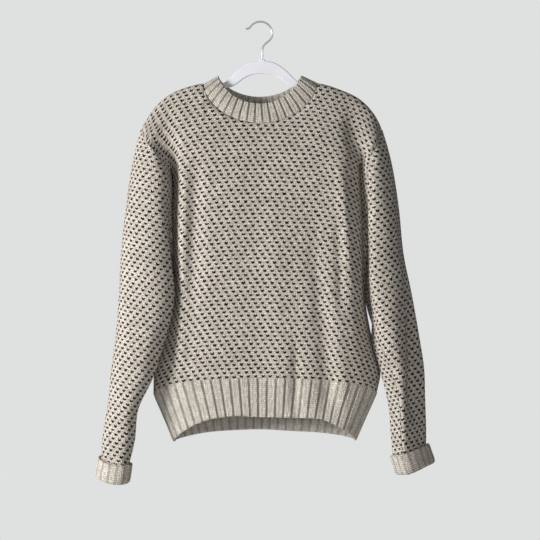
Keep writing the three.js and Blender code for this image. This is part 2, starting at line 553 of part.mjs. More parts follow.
// ---- hanger ------------------------------------------------------------------------------
function hangerBody() {
  const right = {
    top: [[HANGER.bossHalf, -70], [14, -71.2], [26, -75], [44, -87.4], [56, -99.5], [68, -109.8],
      [84, -115.6], [104, -119.6], [143, -130], [174, -145.8], [196, -167], [203, -178]],
    end: [[201, -188], [192, -189]],
    low: [[174, -170], [144, -154], [108, -137], [72, -123], [56, -118], [47, -113], [34, -102.8],
      [20, -96.2], [7, -94]],
  };
  const halfOutline = [...right.top, ...right.end, ...right.low];
  const outline = new THREE.Shape();
  outline.moveTo(HANGER.bossHalf, HANGER.bossTop);
  const flat = halfOutline.map(([x, z]) => new THREE.Vector3(x, z, 0));
  const curve = new THREE.CatmullRomCurve3(flat, false, 'centripetal');
  const points = curve.getPoints(34).map((p) => [p.x, p.y]);
  points.forEach(([x, z]) => outline.lineTo(x, z));
  points.slice().reverse().forEach(([x, z]) => outline.lineTo(-x, z));
  outline.lineTo(-HANGER.bossHalf, HANGER.bossTop);
  outline.closePath();
  const geometry = new THREE.ExtrudeGeometry(outline, {
    depth: HANGER.thick - 2 * HANGER.bevel, bevelEnabled: true, bevelSegments: 1,
    bevelThickness: HANGER.bevel, bevelSize: HANGER.bevel, bevelOffset: -HANGER.bevel, steps: 1,
  });
  geometry.rotateX(Math.PI / 2);
  geometry.translate(0, HANGER.thick / 2 - HANGER.bevel, 0);
  return geometry;
}

function hangerHook() {
  const centreZ = WIRE - Math.sqrt(HOOK.radius ** 2 - HOOK.x ** 2);
  const onArc = (degrees) => {
    const a = THREE.MathUtils.degToRad(degrees);
    return new THREE.Vector3(HOOK.x + HOOK.radius * Math.cos(a), 0, centreZ + HOOK.radius * Math.sin(a));
  };
  const route = [new THREE.Vector3(-30, 0, -11), new THREE.Vector3(-25.5, 0, -11.2),
    ...[146, 128, 108, 90, 70, 50, 30, 10, -10, -28].map(onArc),
    new THREE.Vector3(8, 0, -37), new THREE.Vector3(2, 0, -44), new THREE.Vector3(HOOK.stemX, 0, -51),
    new THREE.Vector3(HOOK.stemX, 0, -58), new THREE.Vector3(HOOK.stemX, 0, HANGER.bossTop + 0.3)];
  const path = new THREE.CatmullRomCurve3(route, false, 'centripetal');
  const section = new THREE.Shape();
  for (let i = 0; i < HOOK.sides; i++) {
    const a = (i + 0.5) * 2 * Math.PI / HOOK.sides;
    const r = WIRE / Math.cos(Math.PI / HOOK.sides);
    if (i === 0) section.moveTo(r * Math.cos(a), r * Math.sin(a));
    else section.lineTo(r * Math.cos(a), r * Math.sin(a));
  }
  section.closePath();
  return new THREE.ExtrudeGeometry(section, { steps: HOOK.steps, bevelEnabled: false, extrudePath: path });
}

// ---- the assembled object ------------------------------------------------------------------
const MARL = new THREE.MeshStandardMaterial({ color: '#c6beb2', roughness: 0.95, metalness: 0 });
const RIB = new THREE.MeshStandardMaterial({ color: '#bcb08f', roughness: 0.95, metalness: 0 });
const FLOCK = new THREE.MeshStandardMaterial({ color: '#d8d9e0', roughness: 0.9, metalness: 0 });
const CHROME = new THREE.MeshStandardMaterial({ color: '#c9c9cb', roughness: 0.2, metalness: 1 });

const pullover = new THREE.Group();
function place(name, geometry, material) {
  const mesh = new THREE.Mesh(geometry, material);
  mesh.name = name;
  pullover.add(mesh);
}
for (const panel of [front, back, sleeveLeft, sleeveRight]) place(panel.name, panel.solid(), MARL);
for (const panel of [hemFront, hemBack, collar, cuffLeft, cuffRight]) place(panel.name, panel.solid(), RIB);
place('hanger_body', hangerBody(), FLOCK);
place('hanger_hook', hangerHook(), CHROME);

export default pullover;
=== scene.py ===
"""A chunky crew-neck pullover in flecked marl wool, hanging on a slim flocked hanger.
Metres, +Z up, +X to the viewer's right, +Y towards the wall that it would hang on."""
import json
import math

import bpy
import numpy as np
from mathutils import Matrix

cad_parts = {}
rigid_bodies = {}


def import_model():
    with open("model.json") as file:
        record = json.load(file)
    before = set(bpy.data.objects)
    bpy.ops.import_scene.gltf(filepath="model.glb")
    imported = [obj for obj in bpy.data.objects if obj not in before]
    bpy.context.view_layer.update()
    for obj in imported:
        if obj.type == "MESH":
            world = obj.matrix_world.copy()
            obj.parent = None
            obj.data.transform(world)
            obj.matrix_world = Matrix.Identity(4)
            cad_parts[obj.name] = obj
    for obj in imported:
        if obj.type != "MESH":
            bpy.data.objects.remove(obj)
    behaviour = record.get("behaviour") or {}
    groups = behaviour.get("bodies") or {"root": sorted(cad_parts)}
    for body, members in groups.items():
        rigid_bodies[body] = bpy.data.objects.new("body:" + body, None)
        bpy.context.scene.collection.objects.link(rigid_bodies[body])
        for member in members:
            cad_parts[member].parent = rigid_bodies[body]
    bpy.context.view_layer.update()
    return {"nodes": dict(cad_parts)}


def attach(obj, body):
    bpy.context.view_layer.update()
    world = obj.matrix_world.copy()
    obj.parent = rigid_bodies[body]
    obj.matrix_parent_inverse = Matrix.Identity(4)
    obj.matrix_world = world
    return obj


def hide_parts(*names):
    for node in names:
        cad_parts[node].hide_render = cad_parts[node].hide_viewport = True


for starter in list(bpy.data.objects):
    bpy.data.objects.remove(starter)
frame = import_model()
MM = 0.001

# ---------------------------------------------------------------------------
# Hanger body: one slim injection-moulded bar with a skin of short nylon flock,
# which keeps knitwear from sliding. Its outline is the frame's own piece.
# ---------------------------------------------------------------------------


def linear(code):
    """A colour in sRGB hex as linear numbers for a node."""
    parts = [int(code[i:i + 2], 16) / 255 for i in (1, 3, 5)]
    return tuple(c / 12.92 if c <= 0.04045 else ((c + 0.055) / 1.055) ** 2.4 for c in parts) + (1.0,)


def add_node(tree, kind, links=(), **settings):
    """Adds one node: settings name its properties or, in capitals, its input sockets."""
    node = tree.nodes.new(kind)
    for name, value in settings.items():
        if name[0].isupper():
            node.inputs[name.replace("_", " ")].default_value = value
        else:
            setattr(node, name, value)
    for socket, source in links:
        tree.links.new(source, node.inputs[socket])
    return node


def new_material(name):
    """An empty node material with its Principled shader and its output."""
    made = bpy.data.materials.new(name)
    made.use_nodes = True
    tree = made.node_tree
    tree.nodes.clear()
    shader = add_node(tree, "ShaderNodeBsdfPrincipled")
    add_node(tree, "ShaderNodeOutputMaterial", [("Surface", shader.outputs[0])])
    return made, tree, shader


# Nylon flock on moulded plastic: 0.5 mm fibres scatter the light evenly, lie a
# little unevenly and have greyed in patches, as cloth rubs on them.
FLOCK_GRAIN = 0.6 * MM
FLOCK_HIGH = 0.3 * MM
WORN_PATCHES = 28.0    # per metre
flock, tree, shader = new_material("flocked_plastic")
place = add_node(tree, "ShaderNodeTexCoord").outputs["Object"]
pile = add_node(tree, "ShaderNodeTexNoise", [("Vector", place)], Scale=1 / FLOCK_GRAIN, Detail=2.0)
worn = add_node(tree, "ShaderNodeTexNoise", [("Vector", place)], Scale=WORN_PATCHES, Detail=3.0)
tone = add_node(tree, "ShaderNodeMix", [("Factor", worn.outputs["Fac"])], data_type="RGBA")
tone.inputs["A"].default_value = linear("#CDCFD6")
tone.inputs["B"].default_value = linear("#E2E3EA")
fluff = add_node(tree, "ShaderNodeBump", [("Height", pile.outputs["Fac"])],
                 Strength=0.5, Distance=FLOCK_HIGH)
tree.links.new(tone.outputs["Result"], shader.inputs["Base Color"])
tree.links.new(fluff.outputs[0], shader.inputs["Normal"])
shader.inputs["Roughness"].default_value = 0.95
shader.inputs["Sheen Weight"].default_value = 0.4
hanger = frame["nodes"]["hanger_body"]
hanger.data.materials.clear()
hanger.data.materials.append(flock)

# ---------------------------------------------------------------------------
# Hanger hook: 3.3 mm steel wire, cold bent and chrome plated, its free end
# rounded off. Its stem turns in the socket on top of the bar.
# ---------------------------------------------------------------------------
WIRE = 1.65 * MM          # half the wire's thickness
HOOK_RADIUS = 22 * MM
HOOK_ASIDE = 3 * MM       # the round's middle lies this far to the left of the place it hangs by
HOOK_CENTRE = (-HOOK_ASIDE, WIRE - math.sqrt(HOOK_RADIUS ** 2 - HOOK_ASIDE ** 2))
HOOK_SIDES = 16
ROUND_FROM, ROUND_TO, ROUND_STEP = 151, -29, -6    # degrees round the hook, from its free end
HOOK_TIP = [(-30, -11), (-27, -11.4)]              # x, z in mm, as below
HOOK_STEM = [(13.4, -33), (9.6, -36), (5.6, -39.6), (2.6, -43.6),
             (1.0, -48), (0.5, -53), (0.5, -60), (0.5, -66.7)]
TIP_SHARE, START_SHARE = 0.55, 0.4                 # rounded end and first section, shares of the wire


def deselect():
    """Leaves nothing selected, so that an operator acts only on what is picked next."""
    if bpy.context.object and bpy.context.object.mode != "OBJECT":
        bpy.ops.object.mode_set(mode="OBJECT")
    bpy.ops.object.select_all(action="DESELECT")


def on_hook(degrees):
    """A point of the wire's middle on the round of the hook."""
    a = math.radians(degrees)
    return (HOOK_CENTRE[0] + HOOK_RADIUS * math.cos(a), 0, HOOK_CENTRE[1] + HOOK_RADIUS * math.sin(a))


deselect()
wire_route = [(x * MM, 0, z * MM) for x, z in HOOK_TIP]
wire_route += [on_hook(a) for a in range(ROUND_FROM, ROUND_TO, ROUND_STEP)]
wire_route += [(x * MM, 0, z * MM) for x, z in HOOK_STEM]
bpy.ops.mesh.primitive_circle_add(vertices=HOOK_SIDES, radius=START_SHARE * WIRE, fill_type="NGON",
                                  location=wire_route[0], rotation=(0, math.radians(-90), 0))
hook = bpy.context.object
hook.name = "hook_wire"
bpy.ops.object.transform_apply(location=True, rotation=True, scale=True)


def section_at(points, index):
    """The middle and the direction of a wire's route at one of its points."""
    before = np.array(points[max(index - 1, 0)])
    after = np.array(points[min(index + 1, len(points) - 1)])
    way = after - before
    return np.array(points[index]), way / np.linalg.norm(way)


bpy.ops.object.mode_set(mode="EDIT")
for step in range(len(wire_route)):
    middle, way = section_at(wire_route, step)
    side = np.array([way[2], 0, -way[0]])
    if step:
        bpy.ops.mesh.extrude_region_move(TRANSFORM_OT_translate={"value": (0, 0, 0)})
    bpy.ops.object.mode_set(mode="OBJECT")
    radius = WIRE * (TIP_SHARE if step == 0 else 1.0)
    for v in hook.data.vertices:
        if v.select:
            out = np.array(v.co) - was_middle if step else np.array(v.co) - middle
            sideways = out @ (was_side if step else side)
            a = math.atan2(out[1], sideways)
            v.co = middle + radius * (math.cos(a) * side + math.sin(a) * np.array([0, 1, 0]))
    was_middle, was_side = middle, side
    bpy.ops.object.mode_set(mode="EDIT")
bpy.ops.mesh.select_all(action="SELECT")
bpy.ops.mesh.normals_make_consistent(inside=False)
bpy.ops.object.mode_set(mode="OBJECT")
bpy.ops.object.shade_smooth_by_angle(angle=math.radians(50))

# Chrome plate on drawn wire: cool and bright, dulled a little by handling.
chrome, tree, shader = new_material("chrome_plated_wire")
place = add_node(tree, "ShaderNodeTexCoord").outputs["Object"]
HANDLED_PATCHES = 45.0    # per metre
handled = add_node(tree, "ShaderNodeTexNoise", [("Vector", place)], Scale=HANDLED_PATCHES, Detail=1.0)
gloss = add_node(tree, "ShaderNodeMapRange", [("Value", handled.outputs["Fac"])], To_Min=0.24, To_Max=0.34)
tree.links.new(gloss.outputs[0], shader.inputs["Roughness"])
shader.inputs["Base Color"].default_value = linear("#96989C")
shader.inputs["Metallic"].default_value = 1.0
hook.data.materials.append(chrome)
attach(hook, "root")
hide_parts("hanger_hook")

# ---------------------------------------------------------------------------
# Front and back: two panels of chunky stocking stitch in marl wool, knitted
# flat and sewn up, with a dark stitch in every third place of every second
# course. They hang from the hanger, so the sides fold in behind the sleeves.
# ---------------------------------------------------------------------------
CLOTH = 3.0
STITCH_WIDE, STITCH_HIGH = 4.4, 3.7
STEP = 3.0
NECK = {"x": -2.6, "z": -113, "half": 103, "power": 1.1}
NECK_FRONT, NECK_BACK = 72, 57
SHOULDER = [(-222, -198), (-204, -168), (-180, -141.5), (-150, -124.5), (-108, -113), (-55, -112), (0, -112),
            (52, -112), (104, -113), (143, -124.5), (178, -141.5), (204, -168), (220, -198)]
DROP = np.array([1, 0.82, 0.6, 0.34, 0.14, 0.04, 0, 0.04, 0.14, 0.34, 0.6, 0.82, 1])
# each ring of guide points: its height at the left seam, in the middle and at the right seam, then [x, y]
FRONT = [
    (-224, -185, -226,
     [(-208, -33), (-193, -23), (-172, -17), (-148, -24), (-108, -27), (-55, -27), (0, -26),
      (55, -26), (104, -28), (143, -27), (165, -17), (189, -23), (206, -32)]),
    (-277, -250, -266,
     [(-174, -34), (-166, 1), (-157, -13), (-147, -29), (-108, -36), (-56, -38), (-1, -36),
      (56, -38), (108, -39), (153, -36), (171, -22), (180, -7), (193, -34)]),
    (-352, -325, -350,
     [(-171, -16), (-164, 5), (-157, -11), (-147, -32), (-108, -43), (-56, -46), (-1, -44),
      (57, -46), (112, -48), (160, -46), (176, -31), (184, -10), (194, -28)]),
    (-436, -410, -436,
     [(-167.5, 7), (-163, 4.5), (-159, -12), (-147, -35), (-108, -47), (-56, -51), (-1, -50),
      (57, -52), (114, -55), (163, -52), (179, -37), (185, -14), (193, -8)]),
    (-508, -490, -508,
     [(-168.5, 13.5), (-162, 3), (-158, -14), (-146, -34), (-110, -48), (-57, -53), (-1, -53),
      (58, -55), (116, -58), (164, -54), (181, -36), (184, -10), (190, 7)]),
    (-602, -575, -600,
     [(-184, 16), (-183, 3), (-173, -13), (-154, -31), (-113, -45), (-58, -50), (0, -50),
      (60, -53), (118, -57), (167, -52), (190, -34), (202, -9), (206, 12)]),
    (-647, -612, -642,
     [(-197, 17), (-196, 3), (-186, -13), (-160, -30), (-116, -43), (-59, -47), (0, -47),
      (60, -50), (119, -53), (170, -48), (199, -31), (213, -9), (217, 12)]),
    (-687, -650, -684,
     [(-196, 18), (-198, 4), (-190, -12), (-165, -28), (-118, -40), (-60, -44), (0, -44),
      (60, -47), (120, -50), (172, -44), (200, -28), (209, -8), (208, 12)]),
]
BACK = [
    (-226, -187, -228,
     [(-212, 20), (-197, 16), (-176, 12), (-150, 13), (-108, 14), (-55, 15), (0, 15),
      (55, 15), (108, 14), (150, 13), (176, 12), (197, 16), (212, 20)]),
    (-277, -252, -277,
     [(-200, 25), (-189, 17), (-176, 14), (-155, 19), (-110, 20), (-55, 20), (0, 20),
      (55, 20), (110, 20), (157, 19), (178, 14), (191, 17), (202, 25)]),
    (-352, -328, -352,
     [(-192, 26), (-183, 19), (-173, 16), (-154, 22), (-112, 24), (-56, 24), (0, 24),
      (56, 24), (112, 24), (160, 22), (179, 16), (188, 18), (197, 26)]),
    (-436, -412, -436,
     [(-184, 24), (-176, 20), (-167, 20), (-150, 25), (-112, 26), (-56, 26), (0, 26),
      (56, 26), (112, 26), (160, 25), (178, 20), (186, 20), (193, 24)]),
    (-508, -492, -508,
     [(-168.5, 13.5), (-163.5, 21), (-157.5, 24.5), (-145, 26), (-110, 27), (-57, 27), (0, 27),
      (57, 27), (112, 27), (160, 26), (177, 23), (185, 17), (190, 7)]),
    (-602, -580, -600,
     [(-184, 16), (-182, 21), (-173, 25), (-155, 27), (-114, 28), (-58, 28), (0, 28),
      (58, 28), (116, 28), (165, 27), (188, 24), (201, 19), (206, 12)]),
    (-647, -628, -642,
     [(-197, 17), (-193, 22), (-182, 25.5), (-161, 27), (-116, 28), (-59, 28), (0, 28),
      (60, 28), (120, 28), (172, 27), (196, 24), (210, 19), (217, 12)]),
    (-687, -676, -684,
     [(-196, 18), (-195, 23), (-187, 26), (-168, 27), (-118, 28), (-60, 28), (0, 28),
      (60, 28), (122, 28), (178, 27), (200, 24), (208, 19), (208, 12)]),
]
# soft valleys (and ridges, with a depth below nought): x, z at each end, depth and half width, all mm
FRONT_FOLDS = [
    ((100, -390), (126, -700), 10, 19),
    ((62, -600), (64, -770), 5, 9),
    ((-120, -270), (-124, -480), 7, 13),
    ((139, -380), (143, -510), 5, 9),
    ((106, -412), (150, -690), -5, 15),
    ((142, -270), (161, -450), -5, 10),
    ((-143, -300), (-147, -620), -5, 10),
    ((20, -330), (34, -660), -3, 22),
]
BACK_FOLDS = [
    ((-84, -330), (-96, -690), -3, 22),
    ((70, -360), (86, -700), -3, 24),
]
MIDDLE_COLUMN = 6     # guide points from the left seam to the middle
SPACING_RING = 5      # ring that the columns are spaced along
SQUEEZE = 3           # rings over which the rows close up round the neck
UNDERARM = 6          # ring of the body where the armhole ends


def smooth(points, where):
    """Points on the smooth curve through guide points, which lie along the first axis."""
    count = len(points)
    where = np.clip(where, 0, count - 1)
    first = np.minimum(where.astype(int), count - 2)
    share = where - first
    padded = np.concatenate([2 * points[:1] - points[1:2], points, 2 * points[-1:] - points[-2:-1]])
    columns = () if where.ndim == 1 else (np.arange(where.shape[1]),)
    p = [padded[(first + k, *columns)] for k in range(4)]
    apart = [np.linalg.norm(p[k + 1] - p[k], axis=-1, keepdims=True) for k in range(3)]
    gap = [np.maximum(distance, 1e-6) ** 0.5 for distance in apart]
    leave = ((p[1] - p[0]) / gap[0] - (p[2] - p[0]) / (gap[0] + gap[1]) + (p[2] - p[1]) / gap[1]) * gap[1]
    arrive = ((p[2] - p[1]) / gap[1] - (p[3] - p[1]) / (gap[1] + gap[2]) + (p[3] - p[2]) / gap[2]) * gap[1]
    s = share.reshape(share.shape + (1,) * (p[1].ndim - share.ndim))
    return (p[1] + leave * s + (3 * (p[2] - p[1]) - 2 * leave - arrive) * s ** 2
            + (2 * (p[1] - p[2]) + leave + arrive) * s ** 3)


def places(guide, step):
    """Positions along guide points, counted in points, about a step apart."""
    found = [0.0]
    for i, length in enumerate(np.linalg.norm(np.diff(guide, axis=0), axis=1)):
        pieces = max(round(length / step), 2)
        found += [i + (k + 1) / pieces for k in range(pieces)]
    return np.array(found)


def run(grid, axis):
    """How far each point of a grid lies along its row (axis 1) or its column (axis 0)."""
    lengths = np.linalg.norm(np.diff(grid, axis=axis), axis=-1)
    start = np.zeros_like(lengths[:1] if axis == 0 else lengths[:, :1])
    return np.cumsum(np.concatenate([start, lengths], axis=axis), axis=axis)


def ramp(value, low, high):
    """A soft step from 0 at low to 1 at high."""
    s = np.clip((value - low) / (high - low), 0, 1)
    return s * s * (3 - 2 * s)


def folded(x, z, folds):
    """How deep the folds are at each place."""
    depth = np.zeros_like(x)
    for (x0, z0), (x1, z1), deep, half in folds:
        along = (z - z0) / (z1 - z0)
        off = (x - (x0 + (x1 - x0) * along)) / half
        depth += deep * ramp(along, -0.25, 0.2) * (1 - ramp(along, 0.85, 1.25)) * np.exp(-off ** 2)
    return depth


def body_rings(rings, side):
    """The guide rings of a body panel from the shoulder line down."""
    shoulder = np.array([(x, 0, z) for x, z in SHOULDER], float)
    over = shoulder + np.array([0, 6.5 * side, -4])
    for end, inwards in ((0, 2), (-1, -2)):
        over[end] = shoulder[end] + np.array([inwards, 8 * side, -6])
    lower = []
    for left, mid, right, points in rings:
        seam = np.where(np.arange(len(points)) < MIDDLE_COLUMN, left, right)
        heights = mid + (seam - mid) * DROP
        lower.append([(x, y, z) for (x, y), z in zip(points, heights)])
    return np.concatenate([[shoulder, over], lower])


def neck_height(x, depth):
    """How high the neckline is at x; above everything outside the neck."""
    off = np.clip(np.abs((x - NECK["x"]) / NECK["half"]), 0, 1)
    return np.where(off < 1, NECK["z"] - depth * (1 - off ** 2) ** (NECK["power"] / 2), np.inf)


def body_panel(rings, side, depth, folds, across, t):
    """The middle of the cloth of a body panel as a grid, rows from the shoulder down, and the way
    across it at each point, level with the point although the rows slant near the neck."""
    columns = smooth(np.swapaxes(body_rings(rings, side), 0, 1), across)
    columns = np.swapaxes(columns, 0, 1)
    low = np.zeros(len(across))
    high = np.full(len(across), float(SQUEEZE))
    for _ in range(24):
        mid = (low + high) / 2
        point = smooth(columns, mid[None, :])[0]
        under = point[:, 2] < neck_height(point[:, 0], depth)
        low, high = np.where(under, low, mid), np.where(under, mid, high)
    top = smooth(columns, np.zeros((1, len(across))))[0]
    start = np.where(np.isfinite(neck_height(top[:, 0], depth)), low, 0)
    t = t[:, None]
    where = np.where(t < SQUEEZE, start + (SQUEEZE - start) * t / SQUEEZE, t)

    def cloth(shift):
        grid = smooth(columns[:, np.clip(np.arange(len(across)) + shift, 0, len(across) - 1)], where)
        x, z = grid[..., 0], grid[..., 2]
        grid[..., 1] += -side * folded(x, z, folds) * (1 - ramp(np.abs(x), 150, 175))
        return grid

    return cloth(0), cloth(1) - cloth(-1)


def sewn(grid, edge, target, reach):
    """Moves an edge of a grid onto a target line; the cloth behind it follows over a short reach, mm."""
    turned = edge in ("left", "right")
    work = np.swapaxes(grid, 0, 1) if turned else grid
    if edge in ("right", "bottom"):
        work = work[::-1]
    away = run(work, 0)
    work = work + (target - work[0])[None] * (1 - ramp(away, 0, reach))[..., None]
    if edge in ("right", "bottom"):
        work = work[::-1]
    return np.swapaxes(work, 0, 1) if turned else work


def normals_of(grid, side, closed=False, level=None):
    """Which way the right side of the cloth faces at each point."""
    along = np.roll(grid, -1, 1) - np.roll(grid, 1, 1) if closed else np.gradient(grid, axis=1)
    if level is not None:
        by_neck = (np.abs(grid[..., 0] - NECK["x"]) < NECK["half"] + 15) & (BODY_DOWN[:, None] < SQUEEZE)
        along = np.where(by_neck[..., None], level, along)
    found = np.cross(along, np.gradient(grid, axis=0)) * side
    return found / np.maximum(np.linalg.norm(found, axis=-1, keepdims=True), 1e-9)


def share_normals(*edges):
    """Panels that are sewn together face the same way along the seam."""
    total = sum(normal[at] for normal, at in edges)
    total = total / np.maximum(np.linalg.norm(total, axis=-1, keepdims=True), 1e-9)
    for normal, at in edges:
        normal[at] = total


def seam_dip(grid, edges, deep=1.3, half=2.6):
    """The cloth is drawn in along the edges that are sewn."""
    relief = np.zeros(grid.shape[:2])
    for edge in edges:
        axis = 1 if edge in ("left", "right") else 0
        away = run(grid, axis)
        if edge in ("right", "bottom"):
            away = (away[:, -1:] if axis else away[-1:]) - away
        relief -= deep * np.exp(-(away / half) ** 2)
    return relief


def shell(name, grid, normal, side, stitches, relief, closed=False):
    """A cloth piece with its right and its wrong side, made from the middle of its cloth."""
    rows, cols = grid.shape[:2]
    outer = grid + normal * (CLOTH / 2 + relief)[..., None]
    inner = grid - normal * (CLOTH / 2)
    spans = cols if closed else cols - 1
    r, c = (a.ravel() for a in np.meshgrid(np.arange(rows - 1), np.arange(spans), indexing="ij"))
    corners = np.stack([[r, c], [r, c + 1], [r + 1, c + 1], [r + 1, c]]).transpose(2, 0, 1)
    rings = [(corners, (0, 0, 0, 0), side > 0), (corners, (1, 1, 1, 1), side < 0)]
    r, c = np.arange(rows - 1), np.arange(spans)
    edges = [([[0 * c, c], [0 * c, c + 1]], side < 0),
             ([[0 * c + rows - 1, c], [0 * c + rows - 1, c + 1]], side > 0)]
    if not closed:
        edges += [([[r, 0 * r], [r + 1, 0 * r]], side > 0),
                  ([[r, 0 * r + cols - 1], [r + 1, 0 * r + cols - 1]], side < 0)]
    for (first, second), forward in edges:
        rings.append((np.stack([first, second, second, first]).transpose(2, 0, 1), (0, 0, 1, 1), forward))
    faces, corners = [], []
    for ring, level, forward in rings:
        turn = slice(None) if forward else slice(None, None, -1)
        ids = ring[..., 0] * cols + ring[..., 1] % cols + np.array(level) * rows * cols
        faces.append(ids[:, turn])
        corners.append(ring[:, turn])
    at = np.concatenate(corners).reshape(-1, 2)
    mesh = bpy.data.meshes.new(name)
    points = np.concatenate([outer.reshape(-1, 3), inner.reshape(-1, 3)]) * MM
    mesh.from_pydata(points.tolist(), [], np.concatenate(faces).tolist())
    mesh.uv_layers.new(name="stitches").data.foreach_set("uv", stitches[at[:, 0], at[:, 1]].ravel())
    mesh.shade_smooth()
    piece = bpy.data.objects.new(name, mesh)
    bpy.context.collection.objects.link(piece)
    return piece


def body_stitches(grid):
    """Stitch and course numbers of a body panel: stitches from the middle, courses from the welt up.
    Where the rows slant down to the neck, a stitch is as wide as in the first level row below."""
    ahead = np.diff(grid, axis=1)
    lengths = np.linalg.norm(ahead, axis=-1)
    inside = np.abs(grid[0, :, 0] - NECK["x"]) < NECK["half"]
    slanted = (inside[1:] | inside[:-1]) & (BODY_DOWN[:, None] < SQUEEZE)
    level = np.argmax(BODY_DOWN >= SQUEEZE)
    stretch = lengths[level] / np.abs(ahead[level, :, 0])
    lengths = np.where(slanted, np.abs(ahead[..., 0]) * stretch, lengths)
    across = np.cumsum(lengths, axis=1)
    across = np.concatenate([np.zeros((len(grid), 1)), across], axis=1)
    middle = np.argmin(np.abs(BODY_ACROSS - MIDDLE_COLUMN))
    from_middle = across - across[:, middle:middle + 1]
    down = run(grid, 0)
    return np.stack([from_middle / STITCH_WIDE, (down[-1:] - down) / STITCH_HIGH], -1)


ABOVE_NOUGHT = 300            # added to stitch numbers, so that none is below nought
STRAY = (0.8, 1.0, 0)         # how much stitches stray from their places, in stitches
STRAY_SCALE, PLY_SCALE, BATCH_SCALE = 0.4, 3.2, 0.12    # waves of each unevenness in one stitch
BY_LEG, BY_FIBRE, PALE_LESS = 0.9, 1.2, 0.55            # what makes one leg of a stitch paler than the next
BROWN_FROM, BROWN_SHARE = 0.56, 0.62                    # where the brown ply shows, and how strongly
FLECK_REACH = 0.72            # how far a dark stitch reaches to either side of its middle, in stitches
# How far a rib's sunk purl wale is painted towards the dark ply: painted shade in its groove.
PURL_SHADE = 0.4
CREVICE_SHADE = 0.32                # painted shade between the stitches: their brightness there, a share of their tops'
STITCH_RELIEF = 1.3 * MM


